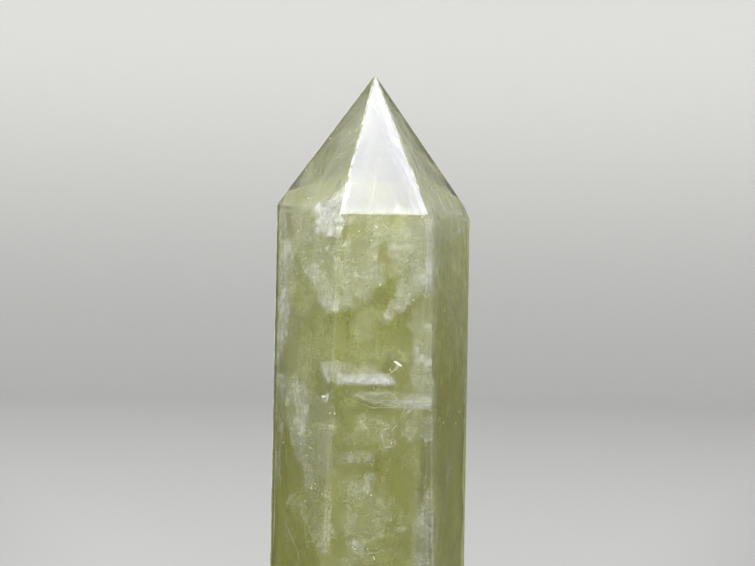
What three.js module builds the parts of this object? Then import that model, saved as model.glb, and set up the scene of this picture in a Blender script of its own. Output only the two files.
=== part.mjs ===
// A citrine crystal point: one piece of quartz, sawn flat at the foot, with six lapped prism
// faces and six lapped tip faces. Sizes are in millimetres and angles in degrees. +Z is up,
// the foot lies on Z = 0, and the broadest clear view of the stone looks along +Y.
import * as THREE from "three";
import { ConvexGeometry } from "three/addons/geometries/ConvexGeometry.js";

const HEIGHT = 120;

// The tip faces would meet in a point here, a little above the dubbed end of the stone.
const APEX = new THREE.Vector3(-1.15, 0, HEIGHT + 0.3);

// The narrow polished flat that breaks each edge, so that it doesn't chip.
const EDGE_FLAT = 0.3;

// A face looks outwards towards its azimuth, counted from +X towards +Y. Its lean is how far
// that look is raised. Reach is the face's distance from the Z axis at the foot.
const PRISM_FACES = [
  { side: "front", azimuth: -82, lean: 0, reach: 16.0 },
  { side: "front right", azimuth: -22, lean: 1.25, reach: 16.2 },
  { side: "back right", azimuth: 36, lean: -2.1, reach: 14.4 },
  { side: "back", azimuth: 98, lean: 0, reach: 16.0 },
  { side: "back left", azimuth: 158, lean: -0.8, reach: 15.9 },
  { side: "front left", azimuth: -142, lean: 1.3, reach: 18.25 },
];

// Every tip face runs down from the apex. The back right one is flatter than the others, so
// its shoulder sits a few millimetres higher.
const TIP_FACES = [
  { side: "front", azimuth: -82, lean: 30.8 },
  { side: "front right", azimuth: -22, lean: 29.3 },
  { side: "back right", azimuth: 38, lean: 37.5 },
  { side: "back", azimuth: 98, lean: 31.0 },
  { side: "back left", azimuth: 158, lean: 33.0 },
  { side: "front left", azimuth: -139, lean: 30.3 },
];

const SAME_POINT = 1e-6;

const UP = new THREE.Vector3(0, 0, 1);

const DOWN = new THREE.Vector3(0, 0, -1);

// The direction that a face looks in.
function outward(azimuth, lean) {
  const turn = THREE.MathUtils.degToRad(azimuth);
  const rise = THREE.MathUtils.degToRad(lean);
  const level = Math.cos(rise);
  return new THREE.Vector3(level * Math.cos(turn), level * Math.sin(turn), Math.sin(rise));
}

// The plane of a face: its outward normal, and its height along that normal.
function plane(normal, point) {
  return { normal, height: normal.dot(point) };
}

function prismPlane({ azimuth, lean, reach }) {
  const foot = outward(azimuth, 0).multiplyScalar(reach);
  return plane(outward(azimuth, lean), foot);
}

function tipPlane({ azimuth, lean }) {
  return plane(outward(azimuth, lean), APEX);
}

// The one point that three planes share, or null where they have none.
function meetingPoint(a, b, c) {
  const bc = b.normal.clone().cross(c.normal);
  const ca = c.normal.clone().cross(a.normal);
  const ab = a.normal.clone().cross(b.normal);
  const volume = a.normal.dot(bc);
  if (Math.abs(volume) < SAME_POINT) return null;
  bc.multiplyScalar(a.height);
  ca.multiplyScalar(b.height);
  ab.multiplyScalar(c.height);
  return bc.add(ca).add(ab).divideScalar(volume);
}

// How far a point stands out of a plane.
function above(face, point) {
  return face.normal.dot(point) - face.height;
}

// The corners of the stone that lies behind every plane.
function cornersOf(planes) {
  const corners = [];
  for (let i = 0; i < planes.length; i++) {
    for (let j = i + 1; j < planes.length; j++) {
      for (let k = j + 1; k < planes.length; k++) {
        const point = meetingPoint(planes[i], planes[j], planes[k]);
        if (point === null) continue;
        if (planes.some((face) => above(face, point) > SAME_POINT)) continue;
        if (corners.some((other) => other.distanceTo(point) < SAME_POINT)) continue;
        corners.push(point);
      }
    }
  }
  return corners;
}

// Two faces share an edge where at least two corners lie on both.
function shareAnEdge(a, b, corners) {
  const onBoth = (point) =>
    Math.abs(above(a, point)) < SAME_POINT && Math.abs(above(b, point)) < SAME_POINT;
  return corners.filter(onBoth).length >= 2;
}

// The plane that cuts the edge between two faces back to a flat of the wanted width.
function edgeFlat(a, b, corners) {
  const normal = a.normal.clone().add(b.normal).normalize();
  const halfTurn = a.normal.angleTo(b.normal) / 2;
  const depth = (EDGE_FLAT / 2) * Math.tan(halfTurn);
  const edgeHeight = Math.max(...corners.map((point) => normal.dot(point)));
  return { normal, height: edgeHeight - depth };
}

// The lapped faces, then the same stone with its edges broken.
function stoneCorners() {
  const foot = plane(DOWN, new THREE.Vector3(0, 0, 0));
  const end = plane(UP, new THREE.Vector3(0, 0, HEIGHT));
  const faces = [foot, end, ...PRISM_FACES.map(prismPlane), ...TIP_FACES.map(tipPlane)];
  const sharp = cornersOf(faces);
  const flats = [];
  for (let i = 0; i < faces.length; i++) {
    for (let j = i + 1; j < faces.length; j++) {
      if (faces[i] === end || faces[j] === end) continue;
      if (shareAnEdge(faces[i], faces[j], sharp)) flats.push(edgeFlat(faces[i], faces[j], sharp));
    }
  }
  return cornersOf([...faces, ...flats]);
}

// The solid, with the middle of its outline set over the origin.
function stoneGeometry() {
  const geometry = new ConvexGeometry(stoneCorners());
  geometry.computeBoundingBox();
  const middle = geometry.boundingBox.getCenter(new THREE.Vector3());
  return geometry.translate(-middle.x, -middle.y, 0);
}

const citrine = new THREE.MeshStandardMaterial({
  color: 0xa3a673,
  roughness: 0.05,
  metalness: 0,
});

const crystalPoint = new THREE.Mesh(stoneGeometry(), citrine);
crystalPoint.name = "crystal_point";

const group = new THREE.Group();
group.add(crystalPoint);

export default group;
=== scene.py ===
"""A citrine crystal point on a pale studio sweep.

The CAD stone gives the flat faces. This script gives them softened edges and a polish, fills
the stone with what is sealed in it, and sets the sweep, the lights and the camera. Lengths are
in metres, and MM turns millimetres into metres. Angles are in degrees where they are given and
in radians inside the functions.
"""

import itertools

import bmesh
import bpy
import numpy as np
from mathutils import Matrix, Vector


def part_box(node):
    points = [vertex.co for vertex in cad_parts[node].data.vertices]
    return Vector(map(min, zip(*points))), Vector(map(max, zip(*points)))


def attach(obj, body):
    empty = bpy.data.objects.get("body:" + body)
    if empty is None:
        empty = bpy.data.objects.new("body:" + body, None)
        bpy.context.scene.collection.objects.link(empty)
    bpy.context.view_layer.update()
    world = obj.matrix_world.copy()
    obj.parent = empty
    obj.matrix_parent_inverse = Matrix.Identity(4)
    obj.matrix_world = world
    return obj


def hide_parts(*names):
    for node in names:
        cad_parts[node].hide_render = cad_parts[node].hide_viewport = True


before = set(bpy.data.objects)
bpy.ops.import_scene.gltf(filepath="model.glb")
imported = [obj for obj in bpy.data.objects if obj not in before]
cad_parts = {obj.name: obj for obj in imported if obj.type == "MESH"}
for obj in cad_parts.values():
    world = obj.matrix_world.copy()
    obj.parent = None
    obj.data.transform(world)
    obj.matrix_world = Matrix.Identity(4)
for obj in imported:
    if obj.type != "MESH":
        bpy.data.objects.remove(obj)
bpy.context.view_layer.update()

MM = 0.001
BODY = "root"
STONE_NODE = "crystal_point"

TIP_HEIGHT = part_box(STONE_NODE)[1][2]


# ---------------------------------------------------------------- meshes and materials


def linear(hex_colour):
    """An sRGB hex colour such as "#a3a673", as linear red, green, blue and 1."""
    srgb = np.array([int(hex_colour[k : k + 2], 16) / 255 for k in (1, 3, 5)])
    low, high = srgb / 12.92, ((srgb + 0.055) / 1.055) ** 2.4
    return (*np.where(srgb <= 0.04045, low, high), 1.0)


def add_node(tree, kind, settings=(), **sockets):
    """Adds a shader node. settings are pairs of its own options. Each socket is a name, with _
    for a space, or i0, i1 and so on for a place in the list, and holds a value or an output to
    link."""
    node = tree.nodes.new("ShaderNode" + kind)
    for name, value in settings:
        setattr(node, name, value)
    for name, value in sockets.items():
        place = int(name[1:]) if name[0] == "i" and name[1:].isdigit() else name.replace("_", " ")
        if isinstance(value, bpy.types.NodeSocket):
            tree.links.new(value, node.inputs[place])
        else:
            node.inputs[place].default_value = value
    return node


def new_material(name):
    """An empty node material, its tree and its output node."""
    material = bpy.data.materials.new(name)
    material.use_nodes = True
    tree = material.node_tree
    tree.nodes.clear()
    return material, tree, tree.nodes.new("ShaderNodeOutputMaterial")


def mesh_object(name, points, faces, material, smooth=True):
    """A new object of these points and faces, with its place in its mesh."""
    mesh = bpy.data.meshes.new(name)
    mesh.from_pydata(points, [], faces)
    mesh.validate()
    mesh.materials.append(material)
    mesh.polygons.foreach_set("use_smooth", np.full(len(mesh.polygons), smooth))
    mesh.update()
    made = bpy.data.objects.new(name, mesh)
    bpy.context.scene.collection.objects.link(made)
    return made


def keep_on_points(made, name, values):
    """Keeps one number for each point of an object's mesh, under this name."""
    kept = made.data.attributes.new(name, "FLOAT", "POINT")
    kept.data.foreach_set("value", values.astype(np.float32))


def grid_faces(rows, columns, wrap):
    """The four-cornered faces of a grid of points stored row by row. wrap joins the last
    column to the first."""
    row = np.arange(rows - 1)[:, None] * columns
    column = np.arange(columns if wrap else columns - 1)[None, :]
    after = (column + 1) % columns
    corners = [row + column, row + after, row + columns + after, row + columns + column]
    return np.stack(np.broadcast_arrays(*corners), -1).reshape(-1, 4)


# ---------------------------------------------------------------- the stone's outer surface

# What counts as one of the stone's own faces, as one plane and as one corner.
LEAST_FACE = 100 * MM**2
SAME_PLANE = 0.02 * MM
SAME_CORNER = 0.3 * MM

# The grid of a face: its spacing along the outline, the rings set in from the outline, and the
# rings that then shrink to the middle. The rings lie close where the edge rounds over.
OUTLINE_STEP = 0.5 * MM
EDGE_RINGS = np.array([0, 0.025, 0.05, 0.085, 0.14, 0.25, 0.6]) * MM
INNER_RINGS = np.array([0.93, 0.75, 0.5, 0.25, 0.0])
EDGE_SHARPNESS = 18 / MM
WELD = 0.001 * MM
SETTLING_STEPS = 8

# The painted highlights on the edges, matt white bands that stand in for the light the edges
# catch: the band's width on each face, how far it lies outside the skin, and the heights where
# the shoulder's edges and the tip's begin. The ground foot's sheet lies just inside.
EDGE_HIGHLIGHT_BAND = 0.22 * MM
EDGE_HIGHLIGHT_RINGS = np.array([0, 0.5, 1]) * EDGE_HIGHLIGHT_BAND
EDGE_HIGHLIGHT_LIFT = 0.012 * MM
SHOULDER_HEIGHT = 94.5 * MM
TIP_EDGES_HEIGHT = 97 * MM
TIP_EDGE_HIGHLIGHT = 0.6
FRONT_EDGE_HIGHLIGHT = 0.10
SHOULDER_EDGE_HIGHLIGHT = 0.15
GROUND_FOOT_RINGS = np.array([0.35, 1.0]) * MM
GROUND_FOOT_DEPTH = 0.1 * MM
GROUND_FOOT_WEAR = 0.85


def stone_planes():
    """The outward normals and the distances of the CAD stone's big flat faces. Triangles that
    share a plane are added up, and the planes that stay small are the flats on its edges."""
    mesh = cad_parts[STONE_NODE].data
    points = np.empty(len(mesh.vertices) * 3)
    mesh.vertices.foreach_get("co", points)
    corners = np.empty(len(mesh.loops), int)
    mesh.loops.foreach_get("vertex_index", corners)
    a, b, c = points.reshape(-1, 3)[corners].reshape(-1, 3, 3).transpose(1, 0, 2)
    spread = np.cross(b - a, c - a) / 2
    area = np.linalg.norm(spread, axis=1)
    normal = spread / area[:, None]
    distance = (normal * a).sum(1)
    same = (normal @ normal.T > 0.9999) & (abs(distance[:, None] - distance) < SAME_PLANE)
    first = same.argmax(1)
    total = np.bincount(first, area, len(area))
    big = np.flatnonzero(total > LEAST_FACE)
    normals = np.array([spread[first == k].sum(0) for k in big])
    normals /= np.linalg.norm(normals, axis=1)[:, None]
    distances = np.array([(distance * area)[first == k].sum() / total[k] for k in big])
    return normals, distances


NORMALS, DISTANCES = stone_planes()


def stone_corners():
    """Every point where three of the big faces meet and that no face cuts off, and which faces
    meet there. Points very near each other are one corner, with all their faces."""
    triples = np.array(list(itertools.combinations(range(len(NORMALS)), 3)))
    triples = triples[abs(np.linalg.det(NORMALS[triples])) > 1e-4]
    points = np.linalg.solve(NORMALS[triples], DISTANCES[triples][..., None])[..., 0]
    inside = (points @ NORMALS.T - DISTANCES < SAME_PLANE / 2).all(1)
    points, triples = points[inside], triples[inside]
    near = np.linalg.norm(points[:, None] - points, axis=2) < SAME_CORNER
    meets = (triples[..., None] == np.arange(len(NORMALS))).any(1)
    first = near.argmax(1)
    groups = [first == k for k in np.unique(first)]
    corners = np.array([points[group].mean(0) for group in groups])
    return corners, np.array([meets[group].any(0) for group in groups])


CORNERS, MEETS = stone_corners()


def face_outline(face):
    """A face's corners, in turn round it, counter-clockwise from outside."""
    normal = NORMALS[face]
    mine = CORNERS[MEETS[:, face]]
    across = np.cross(normal, [0.0, 1.0, 0.0] if abs(normal[1]) < 0.9 else [1.0, 0.0, 0.0])
    up = np.cross(normal, across)
    from_middle = mine - mine.mean(0)
    return mine[np.argsort(np.arctan2(from_middle @ up, from_middle @ across))]


def face_surface(face, step, edge_rings, inner_rings):
    """One flat face as a grid. One parameter runs round its outline. The other runs inwards:
    first the outline is set in by edge_rings, each corner moving along its bisector, and then
    it shrinks to the middle by inner_rings."""
    outline = face_outline(face)
    sides = np.roll(outline, -1, 0) - outline
    length = np.linalg.norm(sides, axis=1)
    inward = np.cross(NORMALS[face], sides / length[:, None])
    bisector = inward + np.roll(inward, 1, 0)
    bisector /= 1 + (inward * np.roll(inward, 1, 0)).sum(1)[:, None]
    steps = np.ceil(length / step).astype(int)
    share = np.concatenate([np.arange(n) / n for n in steps])[:, None]
    start = np.repeat(np.arange(len(steps)), steps)
    end = (start + 1) % len(steps)
    set_in = outline + edge_rings[:, None, None] * bisector
    rings = set_in[:, start] * (1 - share) + set_in[:, end] * share
    middle = rings[-1].mean(0)
    shrunk = middle + inner_rings[:, None, None] * (rings[-1] - middle)
    points = np.concatenate([rings, shrunk])
    return points.reshape(-1, 3), grid_faces(*points.shape[:2], wrap=True)


def soften_edges(points, sharpness, depth=0.0):
    """Moves points onto the surface where the smooth maximum of their heights above all the
    faces is -depth. The smooth maximum is log(sum(exp(sharpness * height))) / sharpness: on a
    flat face it is the height itself, and near an edge it rounds the edge off."""
    for _ in range(SETTLING_STEPS):
        height = (points @ NORMALS.T - DISTANCES) * sharpness
        top = height.max(1, keepdims=True)
        weight = np.exp(height - top)
        total = weight.sum(1, keepdims=True)
        slope = (weight / total) @ NORMALS
        excess = (np.log(total) + top) / sharpness + depth
        points = points - excess * slope / (slope**2).sum(1, keepdims=True)
    return points


def all_faces(step, edge_rings, inner_rings):
    """The grids of all the faces, as one list of points and one of faces."""
    points, faces, count = [], [], 0
    for face in range(len(NORMALS)):
        face_points, face_faces = face_surface(face, step, edge_rings, inner_rings)
        points.append(face_points)
        faces.append(face_faces + count)
        count += len(face_points)
    return np.concatenate(points), np.concatenate(faces)


def weld(mesh):
    """Joins the points that lie on each other, so that the grids close up into one skin."""
    welded = bmesh.new()
    welded.from_mesh(mesh)
    bmesh.ops.remove_doubles(welded, verts=welded.verts, dist=WELD)
    welded.to_mesh(mesh)
    welded.free()


def stone_skin(material):
    """The whole outside: every face's grid, welded along the edges, with the edges softened."""
    points, faces = all_faces(OUTLINE_STEP, EDGE_RINGS, INNER_RINGS)
    points = soften_edges(points, EDGE_SHARPNESS)
    skin = mesh_object("polished_stone", points, faces, material)
    weld(skin.data)
    return skin


def painted_edge_highlights(material):
    """Painted highlights on the edges: along every edge a band of each face, as wide as the band set
    above, laid just outside the softened skin, in matt white that stands in for the light the edges
    catch. A value on its points says how white it is painted. On the prism's edges it rises from
    the least in front, 45 degrees round from the middle, to all at 70 degrees, near where the edges
    form the outline seen from the camera, and falls to 0.4 towards the back. It is the same on all
    the tip's edges, and little at the shoulder."""
    points, faces = all_faces(OUTLINE_STEP, EDGE_HIGHLIGHT_RINGS, np.array([1.0]))
    points = soften_edges(points, EDGE_SHARPNESS, -EDGE_HIGHLIGHT_LIFT)
    points[:, 2] = np.maximum(points[:, 2], 0)
    bands = mesh_object("painted_edge_highlights", points, faces, material)
    x, y, z = points.T
    # Painted highlight: the bands are whitest near the outline that the edges make seen from the camera.
    turn = abs(np.arctan2(x, -y))
    beside = ease(turn, np.radians(45), np.radians(70))
    beside = beside * (1 - 0.6 * ease(turn, np.radians(105), np.radians(125)))
    shoulder = ease(abs(z - SHOULDER_HEIGHT), 1 * MM, 3 * MM)
    whiteness = np.where(z > TIP_EDGES_HEIGHT, TIP_EDGE_HIGHLIGHT, FRONT_EDGE_HIGHLIGHT + (1 - FRONT_EDGE_HIGHLIGHT) * beside)
    whiteness = whiteness * (SHOULDER_EDGE_HIGHLIGHT + (1 - SHOULDER_EDGE_HIGHLIGHT) * shoulder)
    keep_on_points(bands, "whiteness", whiteness)
    weld(bands.data)
    return bands


def ground_foot(material):
    """The foot is ground flat and not polished. One sheet just inside the foot face, from the
    face's outline to its middle, is as matt as the painted highlights on the edges and whiter."""
    foot = int(np.argmin(NORMALS[:, 2]))
    points, faces = face_surface(foot, OUTLINE_STEP, GROUND_FOOT_RINGS, INNER_RINGS)
    sheet = mesh_object("ground_foot", points - NORMALS[foot] * GROUND_FOOT_DEPTH, faces, material)
    keep_on_points(sheet, "whiteness", np.full(len(points), GROUND_FOOT_WEAR))
    weld(sheet.data)
    return sheet


def matt_white_for_foot_and_highlights():
    """Matt white, for the ground foot and for the painted highlights on the edges: quartz ground
    with coarse grit, whose broken surface scatters white light. It is patchy at random."""
    material, tree, output = new_material("matt_white_ground_foot_and_painted_edge_highlight")
    place = add_node(tree, "TexCoord")
    patches = add_node(tree, "TexNoise", Vector=place.outputs["Object"], Scale=0.5 / MM,
                       Detail=4.0)
    kept = add_node(tree, "MapRange", i0=patches.outputs["Fac"], i1=0.35, i2=0.65,
                    i3=0.12, i4=0.85)
    whiteness = add_node(tree, "Attribute", (("attribute_name", "whiteness"),))
    cover = add_node(tree, "Math", (("operation", "MULTIPLY"),), i0=kept.outputs[0],
                     i1=whiteness.outputs["Fac"])
    shader = add_node(tree, "BsdfPrincipled", Base_Color=linear("#e6e7de"),
                      Roughness=0.6, Alpha=cover.outputs[0])
    tree.links.new(shader.outputs[0], output.inputs["Surface"])
    return material


def polished_citrine():
    """Citrine, which is quartz: a clear dielectric of IOR 1.55 that takes up blue light most,
    lapped flat and polished, so that its faces mirror like glass."""
    material, tree, output = new_material("citrine_lapped_and_polished")
    shader = add_node(tree, "BsdfPrincipled", Base_Color=(1, 1, 1, 1),
                      Transmission_Weight=1.0, Roughness=0.0, IOR=1.55)
    absorb = add_node(tree, "VolumeAbsorption", Color=(0.771, 0.786, 0.19, 1),
                      Density=85.0)
    tree.links.new(shader.outputs[0], output.inputs["Surface"])
    tree.links.new(absorb.outputs[0], output.inputs["Volume"])
    return material


# ---------------------------------------------------------------- what is sealed in the stone

# Nothing sealed in the stone lies nearer its skin than the clearance, and the haze fades out
# over the next part of a millimetre, so that no sheet shows a cut rim.
SKIN_CLEARANCE = 0.25 * MM
SKIN_FADE = 0.8 * MM
PUSHES = 6


def turned(azimuth, tilt, roll):
    """A turn by roll about Y, then back by tilt about X, then by azimuth about Z, in degrees."""
    spin = Matrix.Rotation(np.radians(azimuth), 3, "Z")
    lean = Matrix.Rotation(-np.radians(tilt), 3, "X")
    return np.array(spin @ lean @ Matrix.Rotation(np.radians(roll), 3, "Y"))


def swell(points, size, seed, waves=20):
    """A smooth random height from about -1 to 1 at each point: a scaled sum of cosines along
    random directions, with wavelengths near size."""
    random = np.random.default_rng(seed)
    direction = random.normal(size=(waves, 3))
    direction /= np.linalg.norm(direction, axis=1)[:, None]
    wavelength = size * random.uniform(0.6, 1.6, waves)
    phase = random.uniform(0, 2 * np.pi, waves)
    angle = points @ (2 * np.pi * direction / wavelength[:, None]).T + phase
    return np.cos(angle).sum(-1) * np.sqrt(2 / waves) / 1.6


def ease(value, low, high):
    """0 below low, 1 above high, and a smooth S between."""
    share = np.clip((value - low) / (high - low), 0, 1)
    return share * share * (3 - 2 * share)


def depth_under_skin(points):
    """How far inside the stone each point is: its least distance to a face."""
    return (DISTANCES - points @ NORMALS.T).min(-1)


def keep_inside(points):
    """Pushes points that are too near a face back along its normal."""
    for _ in range(PUSHES):
        over = points @ NORMALS.T - DISTANCES + SKIN_CLEARANCE
        worst = over.argmax(-1)
        push = np.maximum(over.max(-1), 0)
        points = points - push[..., None] * NORMALS[worst]
    return points


# The flat pattern of a sheet counts in this unit. Each sheet's pattern starts at its own place.
PATTERN_UNIT = 10 * MM
PATTERN_SHIFT = 3.7
VEIL_STEP = 0.6 * MM
VEIL_RAGGED = 0.3
VEIL_FALL = 2.5


def veil(centre, half, turn, haze, crumple, seed, fibre=(1.0, 1.0)):
    """One healed crack as a sheet. Two parameters s and t run from -1 to 1: the point is
    centre + s * width across + t * height up + crumple * a swell along the normal, all turned.
    Its haze is exp(-2.5 * r^2), where r is the distance from the middle as a share of the half
    sizes, made ragged by a swell. fibre squeezes its pattern across and up."""
    half = np.array(half) * MM
    count = np.maximum(np.ceil(2 * half / VEIL_STEP).astype(int) + 1, 8)
    s, t = np.meshgrid(np.linspace(-1, 1, count[0]), np.linspace(-1, 1, count[1]), indexing="ij")
    across, normal, up = turned(*turn).T
    middle = np.array(centre) * MM
    flat = middle + (s * half[0])[..., None] * across + (t * half[1])[..., None] * up
    lift = crumple * swell(flat, 9 * MM, seed)
    lift = lift + 0.25 * crumple * swell(flat, 3 * MM, seed + 1)
    points = keep_inside(flat - (lift * MM)[..., None] * normal)
    radius = np.hypot(s, t)
    wave = swell(flat, 0.8 * half.min() + 1.0 * MM, seed + 2)
    radius = radius * (1 + VEIL_RAGGED * wave)
    density = haze * np.exp(-VEIL_FALL * np.maximum(radius, 0) ** 2)
    density = density * ease(np.maximum(abs(s), abs(t)), 1.0, 0.8)
    density = density * ease(depth_under_skin(points), SKIN_CLEARANCE * 0.9, SKIN_FADE)
    pattern = np.stack([s * half[0] * fibre[0], t * half[1] * fibre[1]], -1)
    pattern = pattern / PATTERN_UNIT + seed * PATTERN_SHIFT
    faces = grid_faces(*count, wrap=False)
    return points.reshape(-1, 3), faces, density.reshape(-1), pattern.reshape(-1, 2)


def distance_inside(across, up, outline):
    """How far inside a closed outline each point is: the distance to its nearest side, taken
    as negative outside."""
    start = np.array(outline, float) * MM
    end = np.roll(start, -1, 0)
    point = np.stack([across, up], -1)[..., None, :]
    side = end - start
    share = ((point - start) * side).sum(-1) / (side**2).sum(-1)
    nearest = start + np.clip(share, 0, 1)[..., None] * side
    distance = np.linalg.norm(point - nearest, axis=-1).min(-1)
    above = (start[:, 1] > up[..., None]) != (end[:, 1] > up[..., None])
    crossing = start[:, 0] + (up[..., None] - start[:, 1]) * side[:, 0] / (
        np.where(side[:, 1] == 0, 1, side[:, 1])
    )
    inside = (above & (across[..., None] < crossing)).sum(-1) % 2
    return np.where(inside, distance, -distance)


def cloud(facing, outline, depth, haze, seed, lean=0.0, soft=1.0, jag=0.5, grade=(0, 0),
          crumple=0.3, fibre=(1.0, 1.0), step=0.4):
    """A healed crack or a cloud of bubbles, as a sheet with an outline. facing is the azimuth
    and the rise of the way it faces. The outline's corners are places across it and heights
    above the foot. Two parameters run across and up the outline's box. The sheet lies at depth
    + lean * (height - middle) + crumple * a swell, counted inwards from where the stone ends
    that way. Its haze rises from 0 at the outline, made jagged by swells, to full over soft,
    times exp(grade . (place in the box, from -1 to 1)). fibre squeezes its pattern across and
    up, and step is the spacing of its grid."""
    azimuth, rise = np.radians(facing)
    level = np.array([np.sin(azimuth), -np.cos(azimuth), 0.0])
    normal = level * np.cos(rise) + [0, 0, np.sin(rise)]
    across = np.array([np.cos(azimuth), np.sin(azimuth), 0.0])
    up = np.cross(normal, across)
    corners = np.array(outline, float) * MM
    low, high = corners.min(0) - 2 * jag * MM, corners.max(0) + 2 * jag * MM
    count = np.maximum(np.ceil((high - low) / (step * MM)).astype(int) + 1, 4)
    a, z = np.meshgrid(np.linspace(low[0], high[0], count[0]),
                       np.linspace(low[1], high[1], count[1]), indexing="ij")
    middle, reach = (low + high) / 2, (high - low) / 2
    start = normal * ((CORNERS @ normal).max() - depth * MM)
    flat = start + a[..., None] * across + ((z - start[2]) / up[2])[..., None] * up
    bumps = swell(flat, 7 * MM, seed) + 0.3 * swell(flat, 2.5 * MM, seed + 1)
    deeper = lean * (z - middle[1]) + crumple * MM * bumps
    points = keep_inside(flat - deeper[..., None] * normal)
    fray = swell(flat, 5 * MM, seed + 2) + 0.6 * swell(flat, 2 * MM, seed + 3)
    fray = fray + 0.5 * swell(flat, 1 * MM, seed + 4)
    inside = distance_inside(a, z, outline) + jag * MM * fray
    density = haze * ease(inside, 0, soft * MM)
    rise_across = grade[0] * (a - middle[0]) / reach[0]
    rise_up = grade[1] * (z - middle[1]) / reach[1]
    density = density * np.exp(rise_across + rise_up)
    density = density * ease(depth_under_skin(points), SKIN_CLEARANCE, SKIN_FADE)
    pattern = np.stack([a * fibre[0], z * fibre[1]], -1) / PATTERN_UNIT + seed * PATTERN_SHIFT
    faces = grid_faces(*count, wrap=False)
    return points.reshape(-1, 3), faces, density.reshape(-1), pattern.reshape(-1, 2)


# The layers follow the stone's outside less finely and with rounder edges than its skin does.
ZONE_STEP = 1.2 * MM
ZONE_EDGE_RINGS = np.array([0.0, 1.0]) * MM
ZONE_INNER_RINGS = np.array([0.8, 0.5, 0.25, 0.0])
ZONE_SHARPNESS = 1.1 / MM
MEAN_RADIUS = 16 * MM


def zone_layer(depth, seed, crumple):
    """A layer that follows the stone's own outside, set inwards by depth, with its edges
    rounded and moved in and out by a swell. Gives its points, faces and flat pattern."""
    points, faces = all_faces(ZONE_STEP, ZONE_EDGE_RINGS, ZONE_INNER_RINGS)
    middle = np.array([0.0, 0.0, TIP_HEIGHT * 0.45])
    points = soften_edges(middle + (points - middle) * 0.9, ZONE_SHARPNESS, depth * MM)
    lift = crumple * MM * swell(points, 11 * MM, seed)
    points = soften_edges(points, ZONE_SHARPNESS, (depth * MM - lift)[:, None])
    around = np.arctan2(points[:, 1], points[:, 0]) * MEAN_RADIUS
    pattern = np.stack([around, points[:, 2]], -1)
    return points, faces, pattern / PATTERN_UNIT + seed * PATTERN_SHIFT


def growth_zone(depth, haze, seed, crumple):
    """A phantom: a layer where growth once paused, hazy in patches, and most near the tip."""
    points, faces, pattern = zone_layer(depth, seed, crumple)
    density = haze * ease(swell(points, 14 * MM, seed + 1), -0.9, 0.6)
    upper = ease(points[:, 2], 0.4 * TIP_HEIGHT, 0.84 * TIP_HEIGHT)
    return points, faces, density * (0.5 + 1.5 * upper), pattern


def painted_olive_shade(depth, haze, seed):
    """A layer of deeper olive, a little turbid, that is painted shade: none in the upper third, most
    near the foot, and more at the stone's sides than at its front and back."""
    points, faces, pattern = zone_layer(depth, seed, 0.5)
    low = 1 - ease(points[:, 2], 0.3 * TIP_HEIGHT, 0.7 * TIP_HEIGHT)
    turn = np.arctan2(points[:, 0], -points[:, 1])
    aside = ease(abs(turn), np.radians(15), np.radians(60))
    density = haze * low * (0.6 + 0.5 * aside + 0.2 * np.sin(turn))
    return points, faces, density, pattern


LEAST_HAZE = 0.002


def joined_sheets(name, sheets, material):
    """Sheets joined as one mesh. The part of each sheet that has no haze is left out. The haze
    is kept as a value on the points, and the sheet's own flat place as the UV map."""
    points, faces, hazes, patterns, count = [], [], [], [], 0
    for sheet, corners, density, pattern in sheets:
        shown = density[corners].max(1) > LEAST_HAZE
        used, kept = np.unique(corners[shown], return_inverse=True)
        points.append(sheet[used])
        hazes.append(density[used])
        patterns.append(pattern[used])
        faces.append(kept.reshape(-1, 4) + count)
        count += len(used)
    made = mesh_object(name, np.concatenate(points), np.concatenate(faces), material)
    keep_on_points(made, "haze", np.concatenate(hazes))
    corner_points = np.empty(len(made.data.loops), int)
    made.data.loops.foreach_get("vertex_index", corner_points)
    flat = made.data.uv_layers.new(name="flat")
    flat.data.foreach_set("uv", np.concatenate(patterns)[corner_points].reshape(-1))
    return made


def crack_cover(tree, cloud_size, contrast, roughness):
    """How much of a sheet is covered: 1 - exp(-bubbles), where the bubbles per area are the
    haze times exp(contrast * (noise - 1/2)). The noise has clouds of cloud_size and finer and
    finer wisps."""
    flat = add_node(tree, "UVMap", (("uv_map", "flat"),))
    noise = add_node(tree, "TexNoise", (("noise_dimensions", "2D"),),
                     Vector=flat.outputs[0], Scale=PATTERN_UNIT / cloud_size, Detail=9.0,
                     Roughness=roughness, Distortion=0.15)
    haze = add_node(tree, "Attribute", (("attribute_name", "haze"),))
    power = add_node(tree, "Math", (("operation", "MULTIPLY_ADD"),),
                     i0=noise.outputs["Fac"], i1=contrast, i2=-contrast / 2)
    patches = add_node(tree, "Math", (("operation", "EXPONENT"),), i0=power.outputs[0])
    bubbles = add_node(tree, "Math", (("operation", "MULTIPLY"),),
                       i0=patches.outputs[0], i1=haze.outputs["Fac"])
    clear = add_node(tree, "Math", (("operation", "POWER"),), i0=1 / np.e,
                     i1=bubbles.outputs[0])
    cover = add_node(tree, "Math", (("operation", "SUBTRACT"),), i0=1.0,
                     i1=clear.outputs[0])
    return cover.outputs[0]


def fluid_haze(name, colour, cloud_size, contrast, roughness):
    """A healed crack in quartz: a film of fluid bubbles, far too small to see one by one, that
    scatters white light, the blue most. It is drawn as matt white over part of the sheet."""
    material, tree, output = new_material(name)
    shader = add_node(tree, "BsdfPrincipled", Base_Color=linear(colour), Roughness=0.7,
                      Specular_IOR_Level=0.0,
                      Alpha=crack_cover(tree, cloud_size, contrast, roughness))
    tree.links.new(shader.outputs[0], output.inputs["Surface"])
    return material


# How a crack line is drawn: its points, its wriggles as turns and share of its length, the half
# width left at its points, and how deep its fold is as a share of its width.
LINE_POINTS = 33
LINE_WRIGGLES = ((2, 0.015), (5, 0.006), (11, 0.002))
LINE_TIP = 0.005 * MM
LINE_FOLD = 0.35


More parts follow.
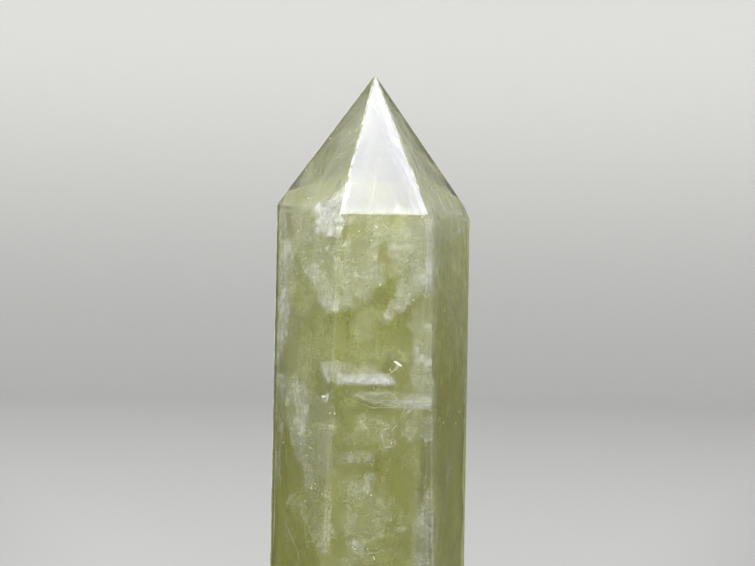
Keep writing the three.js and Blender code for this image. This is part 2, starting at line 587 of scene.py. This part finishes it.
def crack_lines(name, starts, ends, widths, bends, material, seed):
    """Cracks seen edge on, as narrow ribbons. Along each, one parameter u runs from 0 to 1: the
    middle is the straight line from start to end, plus bend * sin(pi * u) sideways and a
    wriggle of three sines. The ribbon's width is its full width times sin(pi * u), so that it
    comes to a point at both ends, and it is folded a little along its middle."""
    random = np.random.default_rng(seed)
    starts, ends = np.array(starts) * MM, np.array(ends) * MM
    widths, bends = np.array(widths) * MM, np.array(bends) * MM
    u = np.linspace(0, 1, LINE_POINTS)
    along = ends - starts
    side = np.cross(along, [0.0, 1.0, 0.0])
    side /= np.linalg.norm(side, axis=1)[:, None]
    lift = bends[:, None] * np.sin(np.pi * u)
    phase = random.uniform(0, 2 * np.pi, (3, len(starts), 1))
    length = np.linalg.norm(along, axis=1)[:, None]
    for turns, share in LINE_WRIGGLES:
        wave = np.sin(2 * np.pi * turns * u + phase[0]) * np.sin(np.pi * u)
        lift = lift + share * length * wave
        phase = np.roll(phase, 1, axis=0)
    middle = starts[:, None] + along[:, None] * u[:, None] + lift[..., None] * side[:, None]
    spread = (widths[:, None] / 2 * np.sin(np.pi * u) + LINE_TIP)[..., None] * side[:, None]
    depth = np.array([0.0, LINE_FOLD, 0.0]) * widths[:, None, None]
    points = np.stack([middle - spread, middle + depth, middle + spread], 2)
    faces = grid_faces(len(u), 3, wrap=False)
    faces = faces[None] + np.arange(len(starts))[:, None, None] * len(u) * 3
    return mesh_object(name, keep_inside(points.reshape(-1, 3)), faces.reshape(-1, 4), material)


def random_lines(sheets, count, length, seed):
    """Starts, ends, widths and bends of short cracks scattered over sheets, most where the haze
    is most. They run any way across and up, and only a little in depth."""
    random = np.random.default_rng(seed)
    places = np.concatenate([sheet for sheet, _, _, _ in sheets])
    weight = np.concatenate([density for _, _, density, _ in sheets])
    middle = places[random.choice(len(places), count, p=weight / weight.sum())] / MM
    angle = random.uniform(0, np.pi, count)
    reach = length * np.exp(random.normal(0, 0.45, count)) / 2
    along = np.stack([np.cos(angle), random.normal(0, 0.35, count), np.sin(angle)], -1)
    step = along * reach[:, None]
    return middle - step, middle + step, 0.09 + 0.04 * reach, reach * random.normal(0, 0.2, count)


def tuft(middle, count, reach, rise, seed):
    """Starts, ends, widths and bends of hair-fine cracks that spread out from near one place,
    most of them towards rise degrees above level, to either side."""
    random = np.random.default_rng(seed)
    start = np.array(middle) + random.normal(0, 0.5 * reach, (count, 3)) * [1, 0.2, 1]
    angle = np.radians(rise + random.normal(0, 50, count))
    way = np.stack([np.cos(angle), random.normal(0, 0.3, count), np.sin(angle)], -1)
    length = reach * np.exp(random.normal(-0.5, 0.4, count))
    return start, start + way * length[:, None], 0.08 + 0.03 * length, 0.1 * length


RIM_CORNERS = 6


def shards(name, rows, material):
    """Small open cracks with straight broken edges. Each row gives a middle, half sizes, a turn
    and a seed. The outline is a six-cornered oval with its corners moved at random."""
    points, faces = [], []
    k = np.arange(RIM_CORNERS)
    for middle, half, turn, seed in rows:
        random = np.random.default_rng(seed)
        angle = (k + random.uniform(-0.3, 0.3, RIM_CORNERS)) * np.pi / 3
        reach = random.uniform(0.55, 1.0, RIM_CORNERS)
        across, normal, up = turned(*turn).T
        rim = (half[0] * reach * np.cos(angle))[:, None] * across
        rim = rim + (half[1] * reach * np.sin(angle))[:, None] * up
        rim = rim + random.normal(0, 0.06, RIM_CORNERS)[:, None] * normal
        hub = np.array(middle) - 0.1 * normal
        first = (RIM_CORNERS + 1) * len(faces)
        points.append(np.vstack([hub, hub + rim]) * MM)
        corners = [first + 0 * k, first + 1 + k, first + 1 + (k + 1) % RIM_CORNERS]
        faces.append(np.stack(corners, -1))
    return mesh_object(
        name, keep_inside(np.concatenate(points)), np.concatenate(faces), material, smooth=False
    )


def flakes(name, sheets, count, size, material, seed):
    """Small flat six-sided flakes scattered over sheets, most where the haze is most. Each is a
    hexagon round its own middle, squashed and turned at random, and more of them face front."""
    random = np.random.default_rng(seed)
    places = np.concatenate([sheet for sheet, _, _, _ in sheets])
    weight = np.concatenate([density for _, _, density, _ in sheets])
    picked = random.choice(len(places), count, p=weight / weight.sum())
    middle = keep_inside(places[picked] + random.normal(0, 0.4 * MM, (count, 3)))
    normal = random.normal(size=(count, 3)) + np.array([0, -1.2, 0])
    normal /= np.linalg.norm(normal, axis=1)[:, None]
    first = np.cross(normal, random.normal(size=(count, 3)))
    first /= np.linalg.norm(first, axis=1)[:, None]
    second = np.cross(normal, first)
    reach = size * MM * np.exp(random.normal(0, 0.7, count)).clip(0, 5)
    squash = random.uniform(0.35, 1.0, count)
    turn = np.arange(RIM_CORNERS) * np.pi / 3
    points = (
        middle[:, None]
        + (reach[:, None] * np.cos(turn))[..., None] * first[:, None]
        + ((reach * squash)[:, None] * np.sin(turn))[..., None] * second[:, None]
    )
    faces = np.arange(count * RIM_CORNERS).reshape(-1, RIM_CORNERS)
    return mesh_object(name, points.reshape(-1, 3), faces, material, smooth=False)


def gas_flake():
    """Gas in a flat crack: the crack walls mirror light like silver, a little broken."""
    material, tree, output = new_material("gas_filled_flake")
    shader = add_node(tree, "BsdfPrincipled", Base_Color=linear("#f4f6fc"),
                      Metallic=0.25, Roughness=0.35)
    tree.links.new(shader.outputs[0], output.inputs["Surface"])
    return material


def crack_seen_on_edge():
    """A crack seen along its own plane: its bubbles lie so deep behind each other that it is a
    fine, matt white line, still a little see-through."""
    material, tree, output = new_material("crack_seen_on_edge")
    shader = add_node(tree, "BsdfPrincipled", Base_Color=linear("#f2f4fa"),
                      Roughness=0.7, Specular_IOR_Level=0.0, Alpha=0.45)
    tree.links.new(shader.outputs[0], output.inputs["Surface"])
    return material


# ---------------------------------------------------------------- the studio

SWEEP_FLOOR_RADIUS = 0.9
SWEEP_CURVE_RADIUS = 0.5
SWEEP_WALL_HEIGHT = 0.9
SWEEP_SPOKES = 120

# Painted shade on the paper: how pale it is on the floor, and how much paler up the wall: ahead
# of the camera, and beside the view on the right and on the left. The darker floor, sides and
# front stand in for shade, so that the stone's faces mirror little there.
AHEAD_TONE, AHEAD_RISE = 0.35, 0.25
RIGHT_TONE, RIGHT_RISE = 0.18, 0.21
LEFT_TONE, LEFT_RISE = 0.24, 0.34


def paper_painted_shade(points):
    """How pale the paper is, with painted shade: paler up the wall than on the floor, and darker to
    the sides of the view and in front, more so on the right."""
    x, y, z = points.T
    plain = AHEAD_TONE + AHEAD_RISE * ease(z, 0, 0.35)
    right = 0.5 + 0.5 * np.tanh(x / (100 * MM))
    on_right = RIGHT_TONE + RIGHT_RISE * ease(z, 0.04, 0.30)
    on_left = LEFT_TONE + LEFT_RISE * ease(z, 0.02, 0.25)
    side = right * on_right + (1 - right) * on_left
    aside = ease(abs(x) - 0.36 * y, 0, 0.13) * ease(np.hypot(x, y), 0.05, 0.22)
    return plain + (side - plain) * aside


def studio_sweep():
    """A round sweep: a flat floor, a quarter circle up, and a wall, turned round the Z axis."""
    turn = np.linspace(0, np.pi / 2, 25)
    floor_reach = np.linspace(0.002, SWEEP_FLOOR_RADIUS, 46)[:-1]
    curve = SWEEP_FLOOR_RADIUS + SWEEP_CURVE_RADIUS * np.sin(turn)
    rise = SWEEP_CURVE_RADIUS * (1 - np.cos(turn))
    wall_reach = SWEEP_FLOOR_RADIUS + SWEEP_CURVE_RADIUS
    reach = np.concatenate([floor_reach, curve, [wall_reach]])[:, None]
    height = np.concatenate([0 * floor_reach, rise, [SWEEP_WALL_HEIGHT]])[:, None]
    around = np.linspace(0, 2 * np.pi, SWEEP_SPOKES + 1)[:-1]
    points = np.stack([reach * np.cos(around), reach * np.sin(around), height + 0 * around], -1)
    points = points.reshape(-1, 3)
    # The paper's colour carries painted shade, from the values kept on its points.
    material, tree, output = new_material("matt_paper_with_painted_shade")
    tone = add_node(tree, "Attribute", (("attribute_name", "tone"),))
    paper = add_node(tree, "Mix", (("data_type", "RGBA"),), Factor=tone.outputs["Fac"],
                     i6=(0.0, 0.0, 0.0, 1.0), i7=linear("#fffffb"))
    shader = add_node(tree, "BsdfPrincipled", Base_Color=paper.outputs[2], Roughness=0.9)
    tree.links.new(shader.outputs[0], output.inputs["Surface"])
    faces = grid_faces(len(reach), len(around), wrap=True)
    sweep = mesh_object("studio_sweep", points, faces, material)
    keep_on_points(sweep, "tone", paper_painted_shade(points))
    return sweep


def softbox(name, aim, direction, distance, size, power, colour=(1, 1, 1)):
    """A square area light that looks at aim from this direction and distance."""
    light = bpy.data.lights.new(name, "AREA")
    light.shape = "SQUARE"
    light.size = size
    light.energy = power
    light.color = colour
    made = bpy.data.objects.new(name, light)
    towards = Vector(direction).normalized()
    made.location = Vector(aim) + towards * distance
    made.rotation_mode = "QUATERNION"
    made.rotation_quaternion = towards.to_track_quat("Z", "Y")
    bpy.context.scene.collection.objects.link(made)


def studio_world(colour, strength):
    """An even light from all round."""
    world = bpy.data.worlds.new("soft_room")
    world.use_nodes = True
    background = world.node_tree.nodes["Background"]
    background.inputs["Color"].default_value = colour
    background.inputs["Strength"].default_value = strength
    bpy.context.scene.world = world


LENS = 85.0
SENSOR_WIDTH = 36.0
CAMERA_DISTANCE = 338.7 * MM
CAMERA_BELOW_TIP = 39.3 * MM
CAMERA_RIGHT = 0.8 * MM
CAMERA_ROLL = 1.06


def studio_camera():
    """Level with the upper part of the stone, turned a degree about its own line of sight."""
    data = bpy.data.cameras.new("camera")
    data.lens = LENS
    data.sensor_width = SENSOR_WIDTH
    camera = bpy.data.objects.new("camera", data)
    place = Matrix.Translation((CAMERA_RIGHT, -CAMERA_DISTANCE, TIP_HEIGHT - CAMERA_BELOW_TIP))
    level = Matrix.Rotation(np.pi / 2, 4, "X")
    roll = Matrix.Rotation(np.radians(CAMERA_ROLL), 4, "Z")
    camera.matrix_world = place @ level @ roll
    bpy.context.scene.collection.objects.link(camera)
    bpy.context.scene.camera = camera


# ---------------------------------------------------------------- the scene

citrine = polished_citrine()
skin = stone_skin(citrine)
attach(skin, BODY)
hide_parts(STONE_NODE)
# One matt white serves both the ground foot and the painted highlights on the edges.
ground = matt_white_for_foot_and_highlights()
for piece in (painted_edge_highlights(ground), ground_foot(ground)):
    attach(piece, BODY)

# The ways that clouds face: the azimuth, counted from the front towards the right, and the rise
# of the normal, both in degrees.
FRONT = (8, 0)
LEFT = (-52, 1.3)
RIGHT = (68, 1.3)
TIP_LEFT = (-49, 30.3)
TIP_RIGHT = (68, 29.3)
RIGHT_EDGE = (38, 0.7)
FAR_LEFT_EDGE = (-82, 0.2)
FAR_RIGHT_EDGE = (97, 0)
BACK = (-172, 0)
BACK_LEFT = (-112, 0.5)
BACK_RIGHT = (126, 0.5)

# A pattern squeezed both ways has finer grain.
FINE = (1.8, 1.8)

# The sheets, list by list. Their sizes, places and depths are in millimetres.
WIDE_HAZE = [
    veil((0, 10, 80), (18, 30), (5, 3, 5), haze=0.35, crumple=2.0, fibre=(1, 0.5), seed=13),
    veil((0, 11, 34), (18, 36), (0, 0, 0), haze=0.25, crumple=2.0, fibre=(1, 0.6), seed=18),
    veil((2, 0, 76), (17, 24), (-14, -6, -12), haze=0.25, crumple=1.5, seed=12),
    veil((-8, -1, 70), (11, 28), (-38, 5, 6), haze=0.30, crumple=1.5, seed=14),
    veil((9, 1, 62), (9, 34), (30, -3, -2), haze=0.20, crumple=1.2, seed=15),
    veil((-4, 1, 36), (14, 20), (-14, 10, -22), haze=0.22, crumple=1.8, seed=16),
    veil((5, -2, 38), (11, 22), (14, -6, 8), haze=0.22, crumple=1.5, seed=17),
    veil((-2, -4, 14), (15, 16), (5, 12, 12), haze=0.2, crumple=1.8, seed=19),
    cloud(FRONT, [(-10, 72), (9, 72), (10, 4), (-11, 4)], 4.5, 0.22, seed=20, soft=5, crumple=1.2,
          step=0.8),
    cloud(LEFT, [(-8, 72), (8, 72), (8, 4), (-7, 4)], 3.5, 0.22, seed=27, soft=4, crumple=1.0, step=0.8),
]
TIP_HAZE = [
    cloud(TIP_LEFT, [(-12, 93), (10, 93), (3, 117), (-3, 117)], 1.2, 0.14, seed=21, fibre=(1.6, 0.6)),
    cloud(TIP_LEFT, [(-6, 93), (10, 93), (2, 117), (-2, 110)], 3.0, 0.16, seed=22, fibre=(1.6, 0.6)),
    cloud(TIP_RIGHT, [(-12, 93), (13, 93), (1, 118), (-3, 118)], 1.2, 0.32, seed=23, fibre=(2, 0.5)),
    cloud(TIP_RIGHT, [(-11, 93), (4, 93), (0, 117), (-3, 117)], 2.5, 0.30, seed=24, fibre=(2, 0.5)),
    veil((0, 4, 103), (11, 17), (0, -20, 0), haze=0.22, crumple=1.2, seed=28),
    veil((0, 0, 111), (6, 9), (10, 5, 0), haze=0.15, crumple=0.4, seed=29),
]
UPPER_CLOUD = [
    cloud(
        FRONT,
        [(-8.4, 94), (10, 94), (9, 80), (6, 77.5), (2.5, 75), (0, 73.5), (-1, 75), (1, 79), (2.2, 81.5),
         (0.6, 82.5), (-0.8, 80), (-2.5, 77.5), (-5, 77), (-8.4, 75.5)],
        1.5, 0.28, seed=31, soft=0.9, jag=0.5, lean=0.08,
    ),
    cloud(
        LEFT,
        [(-7, 94), (9.2, 94), (9.2, 75.5), (8, 75.5), (6, 74.5), (3.5, 77.5), (0.5, 80.5), (-2, 83),
         (-5, 86)],
        1.5, 0.28, seed=32, soft=0.9, jag=0.5, lean=0.05,
    ),
    cloud(FRONT, [(-8, 92), (8, 93), (7, 84), (0, 83), (-8, 80)], 4.0, 0.24, seed=34, soft=3.0),
    cloud(FRONT, [(-8, 79), (0, 76), (-1, 69), (-6, 69)], 2.2, 0.12, seed=35, soft=2.5, jag=1.2,
          fibre=FINE),
    cloud(FRONT, [(1.5, 92), (8, 92), (7.5, 86), (2.5, 87)], 2.2, 0.12, seed=36, soft=2.0),
    cloud(FRONT, [(-8.4, 81), (-5, 81), (-1, 82), (0.4, 80), (-3, 77), (-6, 76), (-8.4, 75)], 1.1, 0.17,
          seed=56, soft=1.6, jag=0.7),
    cloud(FRONT, [(2.5, 82), (6, 86), (9, 84), (9, 80), (6, 77.5), (1, 73.5), (1, 77)], 1.1, 0.13,
          seed=58, soft=1.6, jag=0.6),
    cloud(LEFT, [(-2.5, 84), (1.5, 84.5), (9.2, 79), (9.2, 75), (6, 74.6)], 1.2, 0.24, seed=57, soft=1.0,
          jag=0.6),
    cloud(LEFT, [(-10, 94), (-3, 90), (-3, 82), (-3, 73), (-5, 67), (-10, 64)], 0.9, 0.42, seed=37,
          jag=0.8, soft=3.0, fibre=(1.4, 0.7)),
    cloud(RIGHT, [(-11, 94), (-1, 93), (-2, 84), (-6, 79), (-10, 77)], 1.2, 0.75, seed=38,
          fibre=(1.4, 0.7), soft=2.0),
    cloud(RIGHT, [(-9, 95), (12, 95), (11, 60), (-8, 60)], 2.0, 0.38, seed=39, soft=4.0,
          fibre=(1.6, 0.6), grade=(0, 0.5)),
    cloud(LEFT, [(-10, 95), (9, 95), (8, 55), (-9, 55)], 2.4, 0.08, seed=40, soft=4.0,
          fibre=(1.6, 0.6)),
]
FRACTURES = [
    cloud(
        FRONT,
        [(-8.9, 67), (-7.5, 66.8), (-4, 66), (-1, 65.4), (1.5, 64.2), (3.4, 61.8), (-8.9, 61.8)],
        1.3, 0.44, seed=41, lean=0.4, soft=0.8, jag=0.08, grade=(0, -0.9), crumple=0.1,
    ),
    cloud(LEFT, [(2.6, 66.6), (6, 67), (8.75, 67), (8.75, 61.8), (7.4, 61.8)], 1.3, 0.75, seed=63,
          lean=0.4, soft=1.0, jag=0.1, grade=(0, -1.1), crumple=0.1),
    cloud(FRONT, [(-6.5, 62), (-5, 64.5), (-3, 66), (-1, 65.6), (1, 64), (3.4, 61.9)], 1.0, 0.42,
          seed=42, lean=0.4, soft=1.0, jag=0.05, grade=(0, -1.5), crumple=0.1),
    cloud(
        FRONT,
        [(-7.8, 61.3), (2.2, 61.5), (8.8, 60.3), (9, 57.7), (5.5, 57.2), (2.3, 57.3), (-1.5, 58.4),
         (-5.6, 59.8)],
        1.3, 0.30, seed=43, lean=0.5, soft=0.7, jag=0.1, fibre=(0.6, 2.6),
    ),
    cloud(FRONT, [(0, 60), (8.5, 60.5), (8.7, 57.8), (5.5, 57.5)], 1.0, 0.12, seed=44, lean=0.4,
          soft=1.0, grade=(0.6, 0), fibre=(0.7, 2)),
    cloud(LEFT, [(5.4, 59.2), (6.2, 60.6), (8.4, 61.0), (8.0, 59.3), (6.8, 58.5)], 1.0, 0.7, seed=64,
          soft=0.6, jag=0.15, grade=(0.8, 0)),
    cloud(FRONT, [(-8.9, 50.2), (-6.5, 50.8), (-0.5, 50.2), (-1.5, 47.5), (-8.9, 47.3)], 1.2, 0.26,
          seed=71, soft=1.2, jag=0.2),
    cloud(LEFT, [(-0.5, 49.5), (8.6, 50.5), (8.6, 47), (0.2, 47.6)], 1.2, 0.24, seed=72, soft=1.2,
          jag=0.2),
    cloud(LEFT, [(-9.7, 64), (-5, 53.8), (-0.8, 45.8), (3.7, 38.6), (8.4, 30.5), (8.6, 58), (0, 62)],
          1.4, 0.19, seed=65, soft=0.35, jag=0.1),
    cloud(RIGHT, [(-9, 60), (7, 60), (7, 52), (-1.3, 36), (-6, 30), (-9, 27)], 1.4, 0.15, seed=66,
          soft=0.35, jag=0.1, grade=(-0.4, 0.3)),
    cloud(RIGHT, [(1.5, 49), (3.5, 50), (0, 39), (-6, 29.5), (-2.5, 37)], 1.1, 0.22, seed=80, soft=0.8,
          jag=0.2),
]
MIDDLE_CRACKS = [
    cloud(FRONT, [(4, 74), (10, 76), (11, 57.4), (8, 57.2), (5, 58.6), (3, 62), (4, 68)], 1.3, 0.26,
          seed=45, soft=2.5, jag=0.7),
    cloud(FRONT, [(8, 60.5), (9.5, 61), (9.5, 57.5), (7, 57.8)], 1.0, 0.4, seed=48, soft=0.8, jag=0.4),
    cloud(FRONT, [(-5, 57.5), (4, 57), (9.5, 57), (9.5, 52), (3, 50.5), (-4, 50)], 1.7, 0.27, seed=49,
          soft=1.8, jag=1.0, fibre=FINE),
    cloud(LEFT, [(-7, 60), (-4, 64), (-1.5, 64), (1.5, 60), (4, 59), (2.4, 54), (3, 49), (-1.6, 49),
                 (-5, 54)], 1.2, 0.45, seed=47, soft=2.6, jag=0.7, fibre=FINE),
]
LOWER_CLOUD = [
    cloud(FRONT, [(-5.5, 46), (-1, 46), (-2, 42), (-5, 42)], 1.2, 0.25, seed=73, soft=2, jag=1.0,
          fibre=FINE),
    cloud(FRONT, [(5, 44), (10, 44), (10, 20), (6, 20)], 1.5, 0.27, seed=74, soft=3.0, jag=0.8,
          fibre=FINE),
    cloud(FRONT, [(3, 22), (10, 22), (10, 2), (4, 2)], 1.8, 0.14, seed=91, soft=3.0, jag=0.8,
          fibre=FINE),
    cloud(LEFT, [(-4.2, 43.0), (-3, 43.5), (1.5, 40.5), (8.3, 39.5), (8.3, 32), (6.5, 32), (3, 33.4),
                 (-1, 37.5), (-5, 39.5)], 1.4, 0.38, seed=75, soft=1.8, jag=0.9, fibre=FINE),
    cloud(FRONT, [(-9.4, 39), (-8, 37.5), (-8.5, 33), (-9.4, 32)], 1.4, 0.45, seed=76, soft=1.2,
          jag=0.7, fibre=FINE),
    cloud(FRONT, [(-6.6, 33.8), (-5.5, 34.6), (-2.4, 34.2), (-3, 31.8), (-5.5, 31.6)], 1.0, 0.7,
          seed=78, jag=0.5, soft=1.3),
    cloud(FRONT, [(-3, 34.5), (2, 36), (5, 36.5), (2, 34.8), (-2.5, 33.9)], 1.1, 0.3, seed=79,
          soft=0.8, fibre=(0.5, 2)),
    cloud(FRONT, [(-8.8, 47), (-2, 47), (5, 41), (5, 30), (-8, 28)], 2.0, 0.24, seed=89, soft=3,
          jag=1.0, fibre=FINE),
    cloud(FRONT, [(-8, 28), (4, 30), (8, 34), (6, 20), (-6, 14)], 2.5, 0.16, seed=92, soft=3,
          jag=1.0, fibre=FINE),
    cloud(LEFT, [(-1, 48), (8, 48), (8, 40), (2, 40)], 2.0, 0.2, seed=88, soft=3, jag=1.0, fibre=FINE),
    veil((0, -10, 20), (13, 12), (6, 10, 10), haze=0.15, crumple=0.8, seed=90),
]
BACK_CLOUDS = [
    cloud(facing, outline, depth, haze, seed=seed, soft=soft, jag=1.0, step=0.6)
    for facing, depth, haze, seed, soft, outline in (
        (BACK, 1.2, 0.35, 111, 1.5, [(-9, 93), (8, 94), (7, 80), (1, 74), (-3, 79), (-7, 72)]),
        (BACK, 1.6, 0.30, 112, 2.0, [(-8, 66), (2, 70), (9, 62), (6, 50), (-2, 55)]),
        (BACK, 1.8, 0.25, 113, 3.0, [(-9, 42), (0, 40), (8, 30), (4, 8), (-7, 12)]),
        (BACK_LEFT, 1.3, 0.32, 114, 1.5, [(-9, 94), (9, 94), (8, 82), (0, 70), (-6, 78)]),
        (BACK_LEFT, 1.8, 0.25, 115, 3.0, [(-7, 60), (3, 64), (8, 40), (-2, 24), (-8, 36)]),
        (BACK_RIGHT, 1.3, 0.32, 116, 1.5, [(-9, 94), (9, 94), (8, 84), (2, 76), (-4, 84)]),
        (BACK_RIGHT, 1.8, 0.28, 117, 3.0, [(-8, 66), (4, 68), (8, 52), (2, 30), (-6, 40)]),
    )
]
# Painted shade: olive sheets that darken the stone, most towards the foot and at its sides, and in one
# small spot high on the front.
PAINTED_OLIVE_SHADES = [
    painted_olive_shade(1.2, 0.42, 87),
    cloud(LEFT, [(-9, 52), (0, 40), (8, 26), (8, 0), (-9, 0)], 2.0, 0.45, seed=94, soft=4.0, step=0.8),
    cloud(FRONT, [(-1.8, 88.6), (0.9, 88.2), (0.7, 84.5), (-1.2, 84.8)], 0.9, 0.9, seed=95, soft=1.2),
]
EDGE_HAZE = [
    cloud(RIGHT_EDGE, [(-9, 66), (6, 66), (6, 1), (-9, 1)], 2.2, 0.14, seed=101, soft=5.0, step=0.6),
    cloud(RIGHT_EDGE, [(-9, 95), (6, 95), (6, 58), (-9, 58)], 2.2, 0.20, seed=102, soft=5.0, step=0.6),
    cloud(FAR_LEFT_EDGE, [(-6, 96), (6, 96), (6, 40), (-6, 40)], 2.0, 0.22, seed=103, soft=4.5, step=0.6,
          grade=(0, 0.5), jag=1.0),
    cloud(FAR_RIGHT_EDGE, [(-5, 96), (5, 96), (5, 50), (-5, 50)], 2.0, 0.45, seed=104, soft=3, step=0.6,
          grade=(0, 0.6), fibre=(1.5, 0.6), jag=1.0),
    cloud((-55, 16), [(-11, 97), (9, 97), (9, 88), (-11, 88)], 1.6, 0.08, seed=105, soft=2),
    cloud((68, 16), [(-9, 97), (11, 97), (11, 88), (-9, 88)], 1.6, 0.35, seed=106, soft=2),
    cloud((110, 16), [(-9, 99), (9, 99), (9, 86), (-9, 86)], 1.6, 0.65, seed=107, soft=2),
    cloud((-100, 16), [(-9, 98), (9, 98), (9, 86), (-9, 86)], 2.0, 0.05, seed=108, soft=2),
]
WHITE_CLUSTER = [
    cloud(LEFT, [(1.5, 90.5), (0, 94), (1, 97), (9.4, 97), (9.4, 90.5), (8.2, 86.5), (6.6, 86.5)], 0.9,
          2.4, seed=51, soft=3.6, jag=0.8),
    cloud(TIP_LEFT, [(0.5, 93), (2, 97.5), (7.5, 99.5), (11, 93)], 0.9, 1.6, seed=52, soft=3.2, jag=0.8),
    cloud(FRONT, [(-8.6, 94.5), (-7.6, 93.5), (-7.4, 91.5), (-7.8, 89.5), (-8.6, 89)], 0.9, 1.0,
          seed=53, soft=1.4, jag=0.3),
    cloud(TIP_LEFT, [(-5.5, 96), (-1, 97), (3, 96.5), (3, 93), (-5, 93)], 1.1, 0.10, seed=54, soft=1.5,
          jag=1.0),
]
YELLOW_ZONE = [
    cloud(RIGHT, [(-9, 97), (13, 97), (9, -3), (-9, -3)], 0.8, 0.40, seed=93, soft=4.0, step=0.8,
          grade=(0, -0.4)),
]
GROWTH_ZONES = [
    growth_zone(2.2, 0.05, seed=81, crumple=0.4),
    growth_zone(4.5, 0.08, seed=83, crumple=0.7),
    growth_zone(7.5, 0.12, seed=85, crumple=0.9),
]

# Each shard: its middle, its half sizes, its turn (azimuth, tilt and roll) and its seed.
SHARDS = [
    ((4.6, -14.8, 66.2), (1.2, 0.26), (6, 12, 35), 1),
    ((3.4, -14.8, 64.9), (0.6, 0.08), (6, 12, 70), 2),
    ((-8.4, -14.9, 59.9), (0.9, 0.30), (-30, 12, -12), 3),
    ((-14.4, -7.4, 53.4), (0.12, 0.2), (-52, 12, 0), 4),
    ((-15.8, -5.0, 50.5), (0.10, 0.5), (-52, 10, -18), 5),
    ((2.0, -14.6, 53.0), (0.07, 0.5), (6, 12, -14), 6),
    ((3.8, -14.5, 51.6), (0.08, 0.4), (6, 10, 20), 7),
    ((10.6, -13.9, 69.0), (0.12, 0.12), (6, 12, 0), 8),
    ((1.0, -14.9, 30.8), (0.15, 0.6), (6, 12, -30), 9),
    ((-2.5, -15.2, 32.4), (0.3, 0.2), (6, 14, 0), 10),
]
LINE_STARTS = [(-15.6, -6.2, 36.5), (1.2, -14.9, 50.4), (14.9, -4.8, 48.5), (-13.6, -7.8, 63),
               (-4.7, -15.8, 59.8), (3.0, -14.7, 32.3), (5.0, -14.5, 66.0), (-17.4, -2.5, 58)]
LINE_ENDS = [(-11.5, -11.3, 28.0), (4.5, -14.4, 51.0), (12.0, -8.8, 36.5), (-11.2, -10.2, 53),
             (7.1, -14.2, 58.3), (-1.8, -15.1, 31.6), (3.4, -14.8, 64.3), (-14.4, -6.2, 45)]
LINE_WIDTHS = [0.12, 0.20, 0.14, 0.10, 0.10, 0.14, 0.22, 0.10]
LINE_BENDS = [0.3, 0.2, 0.3, -0.3, -0.9, 0.3, 0.1, 0.2]

zone_haze = fluid_haze("growth_zone_haze", "#eff1f2", 8 * MM, 3.0, 0.45)
# The olive sheets are painted shade, darker towards the foot and at the sides.
olive_shade_sheet = fluid_haze("olive_sheet_painted_shade", "#94961c", 10 * MM, 2.0, 0.4)
yellow_haze = fluid_haze("yellow_growth_zone", "#b7b932", 10 * MM, 2.0, 0.45)
soft_haze = fluid_haze("healed_crack_haze", "#f2f4f4", 5 * MM, 5.5, 0.66)
crack_haze = fluid_haze("fresh_crack_haze", "#f2f4f8", 4 * MM, 5.0, 0.68)
fracture_haze = fluid_haze("flat_fracture_haze", "#eff1fa", 4 * MM, 4.0, 0.62)
gas = gas_flake()
hair = crack_seen_on_edge()
NEAR_HAZE = UPPER_CLOUD + MIDDLE_CRACKS + LOWER_CLOUD
short_lines = random_lines(NEAR_HAZE + FRACTURES, 420, 0.7, 66)
PIECES = [
    joined_sheets("growth_zones", GROWTH_ZONES, zone_haze),
    joined_sheets("painted_olive_shades", PAINTED_OLIVE_SHADES, olive_shade_sheet),
    joined_sheets("yellow_zone", YELLOW_ZONE, yellow_haze),
    joined_sheets("wide_haze", WIDE_HAZE, soft_haze),
    joined_sheets("tip_haze", TIP_HAZE, crack_haze),
    joined_sheets("upper_cloud", UPPER_CLOUD, crack_haze),
    joined_sheets("fractures", FRACTURES, fracture_haze),
    joined_sheets("edge_haze", EDGE_HAZE, soft_haze),
    joined_sheets("middle_cracks", MIDDLE_CRACKS, soft_haze),
    joined_sheets("lower_cloud", LOWER_CLOUD, soft_haze),
    joined_sheets("white_cluster", WHITE_CLUSTER, crack_haze),
    joined_sheets("back_clouds", BACK_CLOUDS, crack_haze),
    shards("bright_shards", SHARDS, gas),
    crack_lines("long_cracks", LINE_STARTS, LINE_ENDS, LINE_WIDTHS, LINE_BENDS, hair, 65),
    crack_lines("short_cracks", *short_lines, hair, 66),
    crack_lines("cluster_hairs", *tuft((-7.5, -13.9, 93.5), 160, 2.4, 80, 67), hair, 68),
    crack_lines("feather_hairs", *tuft((-2.8, -14.6, 43.0), 22, 1.6, 45, 69), hair, 70),
    crack_lines("crackle_hairs", *tuft((2.0, -14.7, 52.4), 26, 2.8, 15, 71), hair, 72),
    crack_lines("foot_hairs", *tuft((-9.5, -12.5, 34.0), 40, 2.4, 60, 73), hair, 74),
    flakes("scattered_flakes", TIP_HAZE + NEAR_HAZE, 1300, 0.05, gas, 61),
    flakes("crack_flakes", FRACTURES + WHITE_CLUSTER, 500, 0.06, gas, 62),
]
for piece in PIECES:
    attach(piece, BODY)

studio_sweep()
studio_world((1.0, 1.0, 1.0, 1.0), 1.0)
# The key is small and stands where the front tip face mirrors it into the camera.
TIP_FACE_MIDDLE = (0.0, -12 * MM, TIP_HEIGHT - 16 * MM)
STONE_MIDDLE = (0, 0, 0.07)
KEY_COLOUR = (0.93, 0.92, 1.22)
softbox("key_softbox", TIP_FACE_MIDDLE, (0.194, -0.384, 0.903), 0.9, 0.25, 2.0, KEY_COLOUR)
softbox("front_softbox", STONE_MIDDLE, (-0.12, -0.80, 0.58), 1.25, 1.1, 30.0)
studio_camera()

# Light must come through the stone's two faces and through many sheets before it is given up.
INNER_BOUNCES = 18
SHEETS_IN_A_ROW = 64
scene = bpy.context.scene
scene.view_settings.view_transform = "Standard"
scene.cycles.max_bounces = INNER_BOUNCES
scene.cycles.transmission_bounces = INNER_BOUNCES
scene.cycles.transparent_max_bounces = SHEETS_IN_A_ROW
